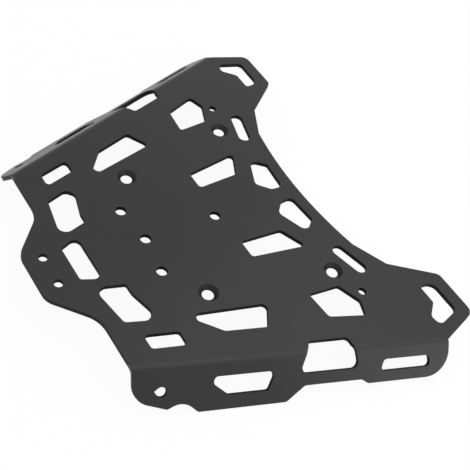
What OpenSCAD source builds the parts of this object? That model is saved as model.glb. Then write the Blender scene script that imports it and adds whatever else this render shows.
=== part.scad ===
// Rear luggage rack for a motorcycle: one laser-cut sheet with both sides folded down.
// Millimetres. +X runs from the narrow front tab to the wide rear wings, +Z is up.
// The origin is midway along the rack, on the centreline, level with the lowest edges.

/* [Sheet] */
// Thickness of the sheet
sheet_thickness = 3.7; // [3:0.1:4.5]
// Inside radius of both folds
bend_inner_radius = 4; // [2:0.5:6]
// How far each side is folded down from level, in degrees
fold_angle = 47; // [40:1:55]

/* [Side flanges] */
// Depth of the lowest flange edge, measured down the slope from the fold
flange_depth = 35.2; // [32:0.2:40]
// How much shallower the flange is in its middle
middle_relief = 10.8; // [8:0.2:12]
// How much shallower the flange is at its rear
rear_relief = 7.3; // [4:0.1:9]
// Radius of the large rear corner of each flange
flange_rear_radius = 20; // [12:1:20]

// Radius of the scallop in each flange's lower edge
scallop_radius = 12.5; // [8:0.5:14]
// Height of the scallop's sharp corner, which the radius rounds off, above the lowest edge
scallop_depth = 9; // [7:0.2:10]

/* [Windows] */
// Usual corner radius of the windows
window_radius = 3; // [2:0.5:3.5]
// Width of the slanted slots beside the rear edge
slot_width = 10.6; // [6:0.2:12]

/* [Holes] */
// Diameter of the plain holes on the deck
deck_hole = 8.8; // [6:0.2:11]
// Diameter of the two holes in the front tab
tab_hole = 7; // [4:0.5:9]
// Diameter of the two small holes beside the rear windows
small_hole = 6.6; // [4:0.2:8]
// Diameter of the countersinks at the top face
countersink_top = 16; // [14:0.2:19]
// Diameter of the drilled hole under each countersink
countersink_drill = 9.4; // [8.4:0.2:11]
// Diameter of the teardrop hole in each flange
teardrop_hole = 7.4; // [5:0.2:9]

/* [Countersunk hole spacing] */
// Distance between the two front countersunk holes
front_pair_spacing = 126.8; // [120:0.2:132]
// Distance between the two rear countersunk holes
rear_pair_spacing = 170.6; // [166:0.2:176]
// Distance from the front edge to the front countersunk holes
front_pair_x = 111.2; // [106:0.2:116]
// Distance from the front edge to the rear countersunk holes
rear_pair_x = 216.7; // [212:0.2:222]

/* [Hidden] */

rack_length = 300.6;
taper_angle = 19;           // each fold line runs outward toward the rear by this much
flange_start = [27.2, 97];  // front end of the fold line, from the middle of the front edge
flange_length = 248.7;      // length of the fold line
wing_start = -0.8;          // the rear wing's side meets the flange's end this far out from the fold
bend_outer_radius = bend_inner_radius + sheet_thickness;
// From the edge where the two outer faces would meet to the line where the bend begins
bend_setback = bend_outer_radius * tan(fold_angle / 2);
deck_top = flange_depth * sin(fold_angle) + sheet_thickness * cos(fold_angle);
overlap = 0.3;
hair = 0.01;                // a shape reaches this far past a face that it is cut off at
rear_arc_radius = 340;      // the rear edge is hollowed by an arc of this radius
rear_arc_half = 69.5;       // half the length of that arc
rear_arc_depth = 242.5;     // from the front edge to the bottom of the arc
// From the front edge to just short of where that arc meets the rear wing
rear_arc_end = rear_arc_depth + rear_arc_radius - 8 * hair
    - sqrt(pow(rear_arc_radius, 2) - pow(rear_arc_half, 2));
past = 10;                  // how far a piece runs past the outline that trims it

function unit(v) = v / norm(v);
function place(v) = [v[0], v[1]];
function cross_of(a, b) = a[0] * b[1] - a[1] * b[0];

// Twice the area inside a list of points, positive where they run anticlockwise
function winding(p) = let (n = len(p))
    [for (i = [0:n - 1]) cross_of(p[i], p[(i + 1) % n])] * [for (i = [0:n - 1]) 1];

// What rounding takes off a convex corner, or fills in at a hollow one. It reaches a hair past
// the sharp edges and its arc a smaller hair, so that no sliver is left where they meet.
module corner_piece(before, at, after, radius) {
    a = unit(before - at);
    b = unit(after - at);
    half = acos(a * b) / 2;
    centre = unit(a + b) * radius / sin(half);
    reach = radius / tan(half);
    translate(at) difference() {
        polygon([centre, for (p = [a * reach, [0, 0], b * reach]) centre + 1.001 * (p - centre)]);
        translate(centre) circle(r = 1.0001 * radius, $fn = 48);
    }
}

// Closed outline with true arcs, from points [x, y, radius]; a point with two numbers stays sharp
module rounded(path) {
    n = len(path);
    points = [for (v = path) place(v)];
    way = sign(winding(points));
    function before(i) = points[(i + n - 1) % n];
    function after(i) = points[(i + 1) % n];
    function hollow(i) = cross_of(points[i] - before(i), after(i) - points[i]) * way < 0;
    difference() {
        union() {
            polygon(points);
            for (i = [0:n - 1]) if (len(path[i]) > 2 && hollow(i))
                corner_piece(before(i), points[i], after(i), path[i][2]);
        }
        for (i = [0:n - 1]) if (len(path[i]) > 2 && !hollow(i))
            corner_piece(before(i), points[i], after(i), path[i][2]);
    }
}

// A point s along the fold and w outward from it, seen from above
function on_fold(s, w) = flange_start
    + s * [cos(taper_angle), sin(taper_angle)] + w * [-sin(taper_angle), cos(taper_angle)];

r = window_radius;
// Windows of one half of the deck: distance from the front edge, from the centreline, radius
inner_rear_window = [
    [209.9, 17.5, r + 2], [220.2, 7.5, r + 2], [231.5, 6.5, r + 2],
    [234, 33.7, r], [221.4, 43.7, r + 2.5]];
inner_window = [[162.3, 31.1, r], [200.6, 33.5, r + 1], [211.8, 55.9, r], [162.3, 47.9, r]];
outer_rear_window = [
    [183, 96.5, r - 1], [210.9, 99.5, r], [218.9, 118.4, r + 1],
    [214, 131.6, r], [185.2, 120.4, r + 1]];
long_window = [
    [92.5, 75.8, r + 0.5], [147.5, 90.1, r + 1], [135.6, 108.2, r],
    [103.9, 97.8, r], [89.3, 81.1, r + 0.5]];
outer_front_window = [[47.7, 76.3, r], [73.1, 84.2, r], [72.8, 96.6, r], [47.8, 88.8, r]];
front_window = [
    [34.5, 25.5, r + 3.5], [58.3, 32.3, r - 1], [58.5, 41.1, r],
    [64.1, 61.1, r + 2], [58, 67.3, r + 2], [41, 61.5, r + 0.5]];
wing_window = [
    [275.5, 128, r - 0.5], [289.2, 129.4, r + 5], [289.3, 159.1, r + 2],
    [266, 164.8, r + 1.5], [264, 155.2, r + 1.5], [275.4, 145.3, r]];
tab_window = [[29.8, 15.6, r - 1], [45.5, 21.8, r + 2], [45.5, -21.8, r + 2], [29.8, -15.6, r - 1]];

// Places of the round holes and of the slanted slot, seen the same way
centre_holes_x = [93, 157.5];
deck_pair_at = [88.8, 32.2];
tab_pair_at = [14.2, 12.7];
small_pair_at = [226, 111.9];
rear_slot = [[234, 70.9], [240.1, 92.1]];

// Rear wing of the deck outline, from the end of the fold to the start of the rear arc
wing_corners = [[rack_length, 166.6, 8], [rack_length, 125.3, 6.5], [264.2, 98.2, 5]];

// Windows of one flange: distance along the fold, depth down the slope, radius
front_flange_window = [
    [59.9, 11.1, r], [105.7, 11.1, r + 1], [99.3, 25.2, r - 0.5],
    [69.2, 25.2, r + 1], [57.5, 15.9, r + 0.5]];
rear_flange_window = [
    [192.6, 10.6, r + 0.5], [231.3, 10.6, r + 0.5], [232.5, 19.7, r + 0.5], [189.8, 19.7, r]];
teardrop_at = [20.5, 18.4];
teardrop_turn = 10;          // how far its tip points up from straight forward

// The window that crosses the fold: its two deck corners, two flange corners and fold crossings
fold_window_deck = [[156.8, 131.4, r], [186.9, 141.3, r + 1]];
fold_window_flange = [[123.8, 15.6, r + 1.5], [171.9, 15.6, r + 2]];
fold_window_left = 129.8;
fold_window_right = 168.7;

// Where a side of that window stands at the deck end (-1) or the flange end (1) of the bend
function crossing(s, deck_corner, flange_corner, end) =
    let (d = place(deck_corner) - flange_start,
         ds = d * [cos(taper_angle), sin(taper_angle)], dw = d * [-sin(taper_angle), cos(taper_angle)])
    end < 0 ? s + (ds - s) * bend_setback / -dw
        : s + (flange_corner[0] - s) * bend_setback / flange_corner[1];

left_ends = [for (end = [-1, 1])
    crossing(fold_window_left, fold_window_deck[0], fold_window_flange[0], end)];
right_ends = [for (end = [-1, 1])
    crossing(fold_window_right, fold_window_deck[1], fold_window_flange[1], end)];

module both_sides() {
    children();
    mirror([0, 1, 0]) children();
}

// Puts a child along the fold line: x runs along the fold, y outward, z = 0 is the deck top
module at_fold() {
    translate([flange_start[0] - rack_length / 2, flange_start[1], deck_top])
        rotate([0, 0, taper_angle]) translate([0, -bend_setback, 0]) children();
}

// Turns a child about the bend axis by an angle, so y runs down the sheet and z = 0 is its outer face
module turned(angle) {
    translate([0, 0, -bend_outer_radius]) rotate([-angle, 0, 0])
        translate([0, 0, bend_outer_radius]) children();
}

// Half of the deck outline, from the middle of the front edge to the middle of the rear edge
module half_outline() {
    difference() {
        rounded(concat(
            [[0, -past], [0, 21.6, 15], [flange_start[0], 51.9, 25], flange_start,
                on_fold(0, flange_depth), on_fold(flange_length, flange_depth),
                on_fold(flange_length, wing_start)],
            wing_corners,
            [[rear_arc_end, rear_arc_half], [rear_arc_end, -past]]));
        intersection() {
            translate([rear_arc_depth + rear_arc_radius, 0]) circle(r = rear_arc_radius, $fn = 400);
            translate([rear_arc_depth - past, -past]) square([3 * past, rear_arc_half + past]);
        }
    }
}

// A slot with round ends between two points
module slot(a, b, width) {
    for (p = [a, b]) translate(p) circle(d = width, $fn = 48);
    translate(a) rotate(atan2(b[1] - a[1], b[0] - a[0]))
        translate([0, -width / 2 + hair / 10]) square([norm(b - a), width - hair / 5]);
}

// Everything cut through the deck, seen from above
module deck_cutouts() {
    rounded(tab_window);
    for (x = centre_holes_x) translate([x, 0]) circle(d = deck_hole, $fn = 48);
    both_sides() {
        for (w = [inner_rear_window, inner_window, outer_rear_window, long_window,
                  outer_front_window, front_window, wing_window]) rounded(w);
        slot(rear_slot[0], rear_slot[1], slot_width);
        // Deck part of the window that crosses the fold
        rounded([fold_window_deck[0], fold_window_deck[1],
            on_fold(right_ends[0], overlap - bend_setback), on_fold(left_ends[0], overlap - bend_setback)]);
        translate(deck_pair_at) circle(d = deck_hole, $fn = 48);
        translate(tab_pair_at) circle(d = tab_hole, $fn = 40);
        translate(small_pair_at) circle(d = small_hole, $fn = 40);
        translate([front_pair_x, front_pair_spacing / 2]) circle(d = countersink_drill, $fn = 48);
        translate([rear_pair_x, rear_pair_spacing / 2]) circle(d = countersink_drill, $fn = 48);
    }
}

// A 90 degree countersink, open at the top face
module countersink(x, y) {
    translate([x - rack_length / 2, y, deck_top - countersink_top / 2])
        cylinder(h = countersink_top / 2 + 1, d1 = 0, d2 = countersink_top + 2, $fn = 64);
}

// The window that crosses the fold, through the bend, cut square to the sheet in three steps
module bend_cutout() {
    steps = 3;
    reach = bend_outer_radius * sin(fold_angle / steps / 2) + overlap;
    left = left_ends[1] - left_ends[0];
    right = right_ends[1] - right_ends[0];
    for (i = [0:steps - 1]) {
        near = i / steps;
        far = (i + 1) / steps;
        turned(fold_angle * (near + far) / 2) translate([0, 0, -sheet_thickness - 1])
            linear_extrude(sheet_thickness + 2) polygon([
                [left_ends[0] + left * near - 0.05, -reach], [right_ends[0] + right * near + 0.05, -reach],
                [right_ends[0] + right * far + 0.05, reach], [left_ends[0] + left * far - 0.05, reach]]);
    }
}

// Flat part of the sheet on one side, as far as the line where the bend begins
module deck() {
    along = 2 * rack_length;
    at_fold() translate([-along / 2, -along, -sheet_thickness]) cube([2 * along, along, sheet_thickness]);
}

// Rounded part of the sheet on one side
module bend() {
    length = flange_length + 2 * past;
    at_fold() difference() {
        translate([-past, 0, -bend_outer_radius]) rotate([0, -90, 0])
            rotate_extrude(angle = fold_angle + 10, $fn = 96)
                translate([bend_inner_radius, -length]) square([sheet_thickness, length]);
        turned(fold_angle) translate([-2 * past, 0, -length / 2]) cube([length + 2 * past, length, length]);
    }
}

// One flange as cut from the sheet: distance along the fold, depth down the slope
module flange_shape() {
    low = flange_depth;
    middle = flange_depth - middle_relief;
    rear = flange_depth - rear_relief;
    difference() {
        rounded([[-hair, bend_setback], [-hair, low - 12, 15], [24.5, low - 4, 2],
            [36.3, low - scallop_depth, scallop_radius], [46.8, low, 3],
            [113.3, low, 5], [128, middle, 5], [174, middle, 4], [179.5, rear, 4],
            [flange_length + hair, rear, flange_rear_radius], [flange_length + hair, bend_setback]]);
        rounded(front_flange_window);
        rounded(rear_flange_window);
        translate(teardrop_at) {
            circle(d = teardrop_hole, $fn = 40);
            rotate(135 + teardrop_turn) square(teardrop_hole / 2);
        }
        rounded([[left_ends[1], bend_setback - overlap], [right_ends[1], bend_setback - overlap],
            fold_window_flange[1], fold_window_flange[0]]);
    }
}

module flange() {
    at_fold() turned(fold_angle) translate([0, -bend_setback, -sheet_thickness])
        linear_extrude(sheet_thickness) flange_shape();
}

// One half of the folded sheet, cut to the outline seen from above
module half_sheet() {
    intersection() {
        union() {
            deck();
            bend();
            flange();
        }
        translate([-rack_length / 2, 0, -10]) linear_extrude(deck_top + 20) half_outline();
    }
}

// The whole rack, one folded sheet
module rack_plate() {
    color([0.1, 0.1, 0.1]) difference() {
        both_sides() half_sheet();
        translate([-rack_length / 2, 0, deck_top - sheet_thickness - 1])
            linear_extrude(sheet_thickness + 2) deck_cutouts();
        both_sides() {
            countersink(front_pair_x, front_pair_spacing / 2);
            countersink(rear_pair_x, rear_pair_spacing / 2);
            at_fold() bend_cutout();
        }
    }
}

rack_plate();
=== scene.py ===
"""Looks for a folded-sheet luggage rack.

Black powder coat, a pale floor, soft lamps and the photograph's camera. Metres throughout."""

import math

import bpy
from mathutils import Matrix, Vector

MM = 0.001

# The photograph's camera: where it stands, which way it looks and how far it is rolled
CAMERA_AT = Vector((-332.5, -333.1, 518.46)) * MM
CAMERA_AZIMUTH = math.radians(-48.0)
CAMERA_ELEVATION = math.radians(46.67)
CAMERA_ROLL = math.radians(19.55)
SENSOR_WIDTH = 36.0
FOCAL_LENGTH = 65.1

# The sheet's fold lines: how far they spread from the centreline, and how far the sides turn down
TAPER = math.radians(19)
FOLD = math.radians(47)
# Where each fold line starts, from the middle of the rack, and how far inside it the bend ends
FOLD_START = (-123.1 * MM, 97 * MM)
BEND_REACH = 5 * MM

# How level a deck face is, by its normal's height, where it counts as all wall and as no wall
WALL_TILT = 0.6
FACE_TILT = 0.98
# How far a flange's face may lean past its true direction and still count as a face
FACE_SLACK = 0.02

COAT_COLOUR = (0.0184, 0.0184, 0.0184)
COAT_ROUGHNESS = 0.31
COAT_SPECULAR = 0.28
# The walls left by cutting, and the countersinks in part, get painted shade: this near-black colour,
# darker than the faces. They are also rougher by this much
WALL_PAINTED_SHADE = (0.001, 0.001, 0.001, 1)
WALL_DULLNESS = 0.3
EDGE_RADIUS = 0.35 * MM

# Noise stays mostly between these two values
NOISE_RANGE = (0.3, 0.7)
# Each pattern on the coat: features per metre and detail, and how far it moves what it works on
CLOUD_NOISE, CLOUD_TONE = (14, 2), (0.94, 1.06)
GRAIN_NOISE, GRAIN_TONE = (1100, 2), (0.9, 1.1)
PATCH_NOISE, PATCH_ROUGHNESS = (60, 3), (-0.03, 0.03)
TEXTURE_NOISE, TEXTURE_HEIGHT, TEXTURE_STRENGTH = (1500, 3, 0.6), 0.06 * MM, 0.25

FLOOR_SIZE = 6.0
FLOOR_COLOUR = (0.86, 0.86, 0.86, 1)
FLOOR_ROUGHNESS = 0.9
# How much of the floor the camera sees as plain white. The rest shows the rack's shadow.
FLOOR_WHITE_SHARE = 0.94
# How much of that white the coat's gloss sees
FLOOR_IN_GLOSS = 0.1
WORLD_LIGHT = 0.85

# Each lamp: where it hangs, what it faces, its width and depth, and its power in watts
SOFTBOXES = {
    "overhead_softbox": ((0.65, -0.3, 1.4), (0.65, -0.3, 0), (1.2, 2), 6.8),
    "side_softbox": ((0.5, -1.25, 0.55), (0.05, -0.19, 0), (0.6, 0.8), 2.9),
    "front_softbox": ((0.3, -0.35, 1.35), (0.3, -0.35, 0), (0.4, 0.6), 0.7),
}


def feed(tree, socket, value):
    """Gives a socket another socket's output or a plain value."""
    if isinstance(value, bpy.types.NodeSocket):
        tree.links.new(value, socket)
    else:
        socket.default_value = value


def math_node(tree, operation, *inputs, clamp=False):
    """A Math node fed by sockets or numbers; returns its output."""
    node = tree.nodes.new("ShaderNodeMath")
    node.operation = operation
    node.use_clamp = clamp
    for socket, value in zip(node.inputs, inputs):
        feed(tree, socket, value)
    return node.outputs[0]


def choose(tree, share, a, b):
    """a where share is 0 and b where it is 1."""
    rest = math_node(tree, "SUBTRACT", 1.0, share)
    return math_node(tree, "ADD", math_node(tree, "MULTIPLY", b, share),
                     math_node(tree, "MULTIPLY", a, rest))


def noise(tree, position, scale, detail, roughness=0.5):
    """Noise from 0 to 1 over the object's own coordinates, in features per metre."""
    node = tree.nodes.new("ShaderNodeTexNoise")
    node.inputs["Scale"].default_value = scale
    node.inputs["Detail"].default_value = detail
    node.inputs["Roughness"].default_value = roughness
    tree.links.new(position, node.inputs["Vector"])
    return node.outputs[0]


def remap(tree, value, low, high, to_low, to_high):
    """Maps value from low..high to to_low..to_high, held at the ends."""
    node = tree.nodes.new("ShaderNodeMapRange")
    tree.links.new(value, node.inputs["Value"])
    ends = {"From Min": low, "From Max": high, "To Min": to_low, "To Max": to_high}
    for name, number in ends.items():
        node.inputs[name].default_value = number
    return node.outputs[0]


def mix_colour(tree, share, a, b):
    """Mixes two colours, sockets or values, by share."""
    node = tree.nodes.new("ShaderNodeMix")
    node.data_type = "RGBA"
    tree.links.new(share, node.inputs["Factor"])
    for name, value in (("A", a), ("B", b)):
        feed(tree, next(s for s in node.inputs if s.name == name and s.type == "RGBA"), value)
    return next(s for s in node.outputs if s.type == "RGBA")


def turned_to_fold(tree, x, y):
    """Two lengths along X and outward, turned to run along the fold line and square to it."""
    along = math_node(tree, "ADD", math_node(tree, "MULTIPLY", x, math.cos(TAPER)),
                      math_node(tree, "MULTIPLY", y, math.sin(TAPER)))
    across = math_node(tree, "SUBTRACT", math_node(tree, "MULTIPLY", y, math.cos(TAPER)),
                       math_node(tree, "MULTIPLY", x, math.sin(TAPER)))
    return along, across


def wall_shade_and_dullness_share(tree, geometry):
    """Where the coat gets painted shade and dullness: 1 on the walls left by cutting, 0 on the
    sheet's faces and its folds, 0.7 on the countersinks.

    Beyond a fold line a face of the sheet points up or down and leans outward only as far as the
    fold does. Inside it, a face is level. Both sides are treated as one, by distance from Y = 0."""
    normal = tree.nodes.new("ShaderNodeSeparateXYZ")
    tree.links.new(geometry.outputs["True Normal"], normal.inputs[0])
    place = tree.nodes.new("ShaderNodeSeparateXYZ")
    tree.links.new(geometry.outputs["Position"], place.inputs[0])
    side = math_node(tree, "SIGN", place.outputs[1])
    facing_out = math_node(tree, "MULTIPLY", normal.outputs[1], side)
    outward = turned_to_fold(tree, normal.outputs[0], facing_out)[1]
    along, past_fold = turned_to_fold(
        tree, math_node(tree, "SUBTRACT", place.outputs[0], FOLD_START[0]),
        math_node(tree, "SUBTRACT", math_node(tree, "ABSOLUTE", place.outputs[1]), FOLD_START[1]))

    up = normal.outputs[2]
    tilt = math_node(tree, "ABSOLUTE", up)
    deck_walls = remap(tree, tilt, WALL_TILT, FACE_TILT, 1, 0)
    level = math_node(tree, "GREATER_THAN", tilt, math.cos(FOLD) - FACE_SLACK)
    same_way = math_node(tree, "GREATER_THAN", math_node(tree, "MULTIPLY", up, outward), -FACE_SLACK)
    # The flange's front end keeps the coat of the faces, with no painted shade
    front_end = math_node(tree, "LESS_THAN", along, EDGE_RADIUS)
    faces = math_node(tree, "MAXIMUM", math_node(tree, "MULTIPLY", level, same_way), front_end)
    flange_walls = math_node(tree, "SUBTRACT", 1.0, faces)
    folded = math_node(tree, "GREATER_THAN", past_fold, -BEND_REACH)
    return choose(tree, folded, deck_walls, flange_walls)


def powder_coat():
    """Fine-textured matte black powder coat, with painted shade on the cut walls and countersinks,
    which are also duller.
    """
    material = bpy.data.materials.new("powder_coat_black")
    material.use_nodes = True
    tree = material.node_tree
    shader = next(n for n in tree.nodes if n.type == "BSDF_PRINCIPLED")
    shader.inputs["Specular IOR Level"].default_value = COAT_SPECULAR
    geometry = tree.nodes.new("ShaderNodeNewGeometry")
    position = geometry.outputs["Position"]
    walls = wall_shade_and_dullness_share(tree, geometry)

    cloud = remap(tree, noise(tree, position, *CLOUD_NOISE), *NOISE_RANGE, *CLOUD_TONE)
    grain = remap(tree, noise(tree, position, *GRAIN_NOISE), *NOISE_RANGE, *GRAIN_TONE)
    shade = tree.nodes.new("ShaderNodeVectorMath")
    shade.operation = "SCALE"
    shade.inputs[0].default_value = COAT_COLOUR
    tree.links.new(math_node(tree, "MULTIPLY", cloud, grain), shade.inputs["Scale"])
    # Painted shade: the cut walls and countersinks are mixed toward a near-black colour
    colour = mix_colour(tree, walls, shade.outputs[0], WALL_PAINTED_SHADE)
    tree.links.new(colour, shader.inputs["Base Color"])

    patchy = remap(tree, noise(tree, position, *PATCH_NOISE), *NOISE_RANGE, *PATCH_ROUGHNESS)
    rough = math_node(tree, "ADD", patchy, COAT_ROUGHNESS)
    dull = math_node(tree, "MULTIPLY", walls, WALL_DULLNESS)
    tree.links.new(math_node(tree, "ADD", rough, dull, clamp=True), shader.inputs["Roughness"])

    soft_edges = tree.nodes.new("ShaderNodeBevel")
    soft_edges.samples = 4
    soft_edges.inputs["Radius"].default_value = EDGE_RADIUS
    texture = tree.nodes.new("ShaderNodeBump")
    texture.inputs["Strength"].default_value = TEXTURE_STRENGTH
    texture.inputs["Distance"].default_value = TEXTURE_HEIGHT
    tree.links.new(noise(tree, position, *TEXTURE_NOISE), texture.inputs["Height"])
    tree.links.new(soft_edges.outputs[0], texture.inputs["Normal"])
    tree.links.new(texture.outputs[0], shader.inputs["Normal"])
    return material


def background_share(tree, in_gloss):
    """1 where the camera or clear things see the background, in_gloss where gloss does, else 0."""
    rays = tree.nodes.new("ShaderNodeLightPath").outputs
    seen = math_node(tree, "MAXIMUM", rays["Is Camera Ray"], rays["Is Transmission Ray"])
    glossy = math_node(tree, "MULTIPLY", rays["Is Glossy Ray"], in_gloss)
    return math_node(tree, "MAXIMUM", seen, glossy)


def floor_material():
    """A pale floor that the camera sees almost white, with the rack's shadow still on it."""
    material = bpy.data.materials.new("pale_floor")
    material.use_nodes = True
    tree = material.node_tree
    shader = next(n for n in tree.nodes if n.type == "BSDF_PRINCIPLED")
    output = next(n for n in tree.nodes if n.type == "OUTPUT_MATERIAL")
    shader.inputs["Base Color"].default_value = FLOOR_COLOUR
    shader.inputs["Roughness"].default_value = FLOOR_ROUGHNESS
    white = tree.nodes.new("ShaderNodeEmission")
    share = background_share(tree, FLOOR_IN_GLOSS)
    mix = tree.nodes.new("ShaderNodeMixShader")
    tree.links.new(math_node(tree, "MULTIPLY", share, FLOOR_WHITE_SHARE), mix.inputs[0])
    tree.links.new(shader.outputs[0], mix.inputs[1])
    tree.links.new(white.outputs[0], mix.inputs[2])
    tree.links.new(mix.outputs[0], output.inputs["Surface"])
    return material


def make_floor():
    """The floor that the rack lies on, which isn't part of the object."""
    bpy.ops.mesh.primitive_plane_add(size=FLOOR_SIZE)
    floor = bpy.context.object
    floor.name = "floor"
    floor.data.materials.append(floor_material())


def make_world():
    """Soft studio light from all round, and white where the camera, gloss or clear things see it."""
    world = bpy.data.worlds.new("studio")
    world.use_nodes = True
    bpy.context.scene.world = world
    tree = world.node_tree
    background = next(n for n in tree.nodes if n.type == "BACKGROUND")
    background.inputs["Color"].default_value = (1, 1, 1, 1)
    strength = remap(tree, background_share(tree, 1.0), 0, 1, WORLD_LIGHT, 1)
    tree.links.new(strength, background.inputs["Strength"])


def softbox(name, at, target, size, power):
    """A rectangular area lamp that faces its target."""
    light = bpy.data.lights.new(name, "AREA")
    light.shape = "RECTANGLE"
    light.size, light.size_y = size
    light.energy = power
    lamp = bpy.data.objects.new(name, light)
    lamp.location = at
    lamp.rotation_euler = (Vector(target) - Vector(at)).to_track_quat("-Z", "Y").to_euler()
    bpy.context.scene.collection.objects.link(lamp)


def make_camera():
    """Aims the camera by azimuth and elevation, then rolls it about its own axis."""
    data = bpy.data.cameras.new("photo_camera")
    data.sensor_width = SENSOR_WIDTH
    data.lens = FOCAL_LENGTH
    data.clip_start = 0.01
    data.clip_end = 50
    camera = bpy.data.objects.new("photo_camera", data)
    flat = math.cos(CAMERA_ELEVATION)
    forward = Vector((-math.sin(CAMERA_AZIMUTH) * flat, math.cos(CAMERA_AZIMUTH) * flat,
                      -math.sin(CAMERA_ELEVATION)))
    level = forward.cross(Vector((0, 0, 1))).normalized()
    upright = level.cross(forward)
    right = math.cos(CAMERA_ROLL) * level + math.sin(CAMERA_ROLL) * upright
    up = right.cross(forward)
    turn = Matrix((right, up, -forward)).transposed()
    camera.matrix_world = Matrix.Translation(CAMERA_AT) @ turn.to_4x4()
    bpy.context.scene.collection.objects.link(camera)
    bpy.context.scene.camera = camera


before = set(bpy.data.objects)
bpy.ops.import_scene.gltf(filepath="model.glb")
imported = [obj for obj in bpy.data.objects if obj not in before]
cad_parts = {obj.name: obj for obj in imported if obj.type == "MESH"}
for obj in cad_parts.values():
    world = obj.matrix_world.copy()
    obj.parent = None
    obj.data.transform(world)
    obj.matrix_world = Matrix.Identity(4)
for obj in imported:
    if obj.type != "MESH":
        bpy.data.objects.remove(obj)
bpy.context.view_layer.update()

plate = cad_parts["rack_plate"]
plate.data.materials[0] = powder_coat()

make_floor()
make_world()
for name, settings in SOFTBOXES.items():
    softbox(name, *settings)
make_camera()
bpy.context.scene.view_settings.view_transform = "Standard"
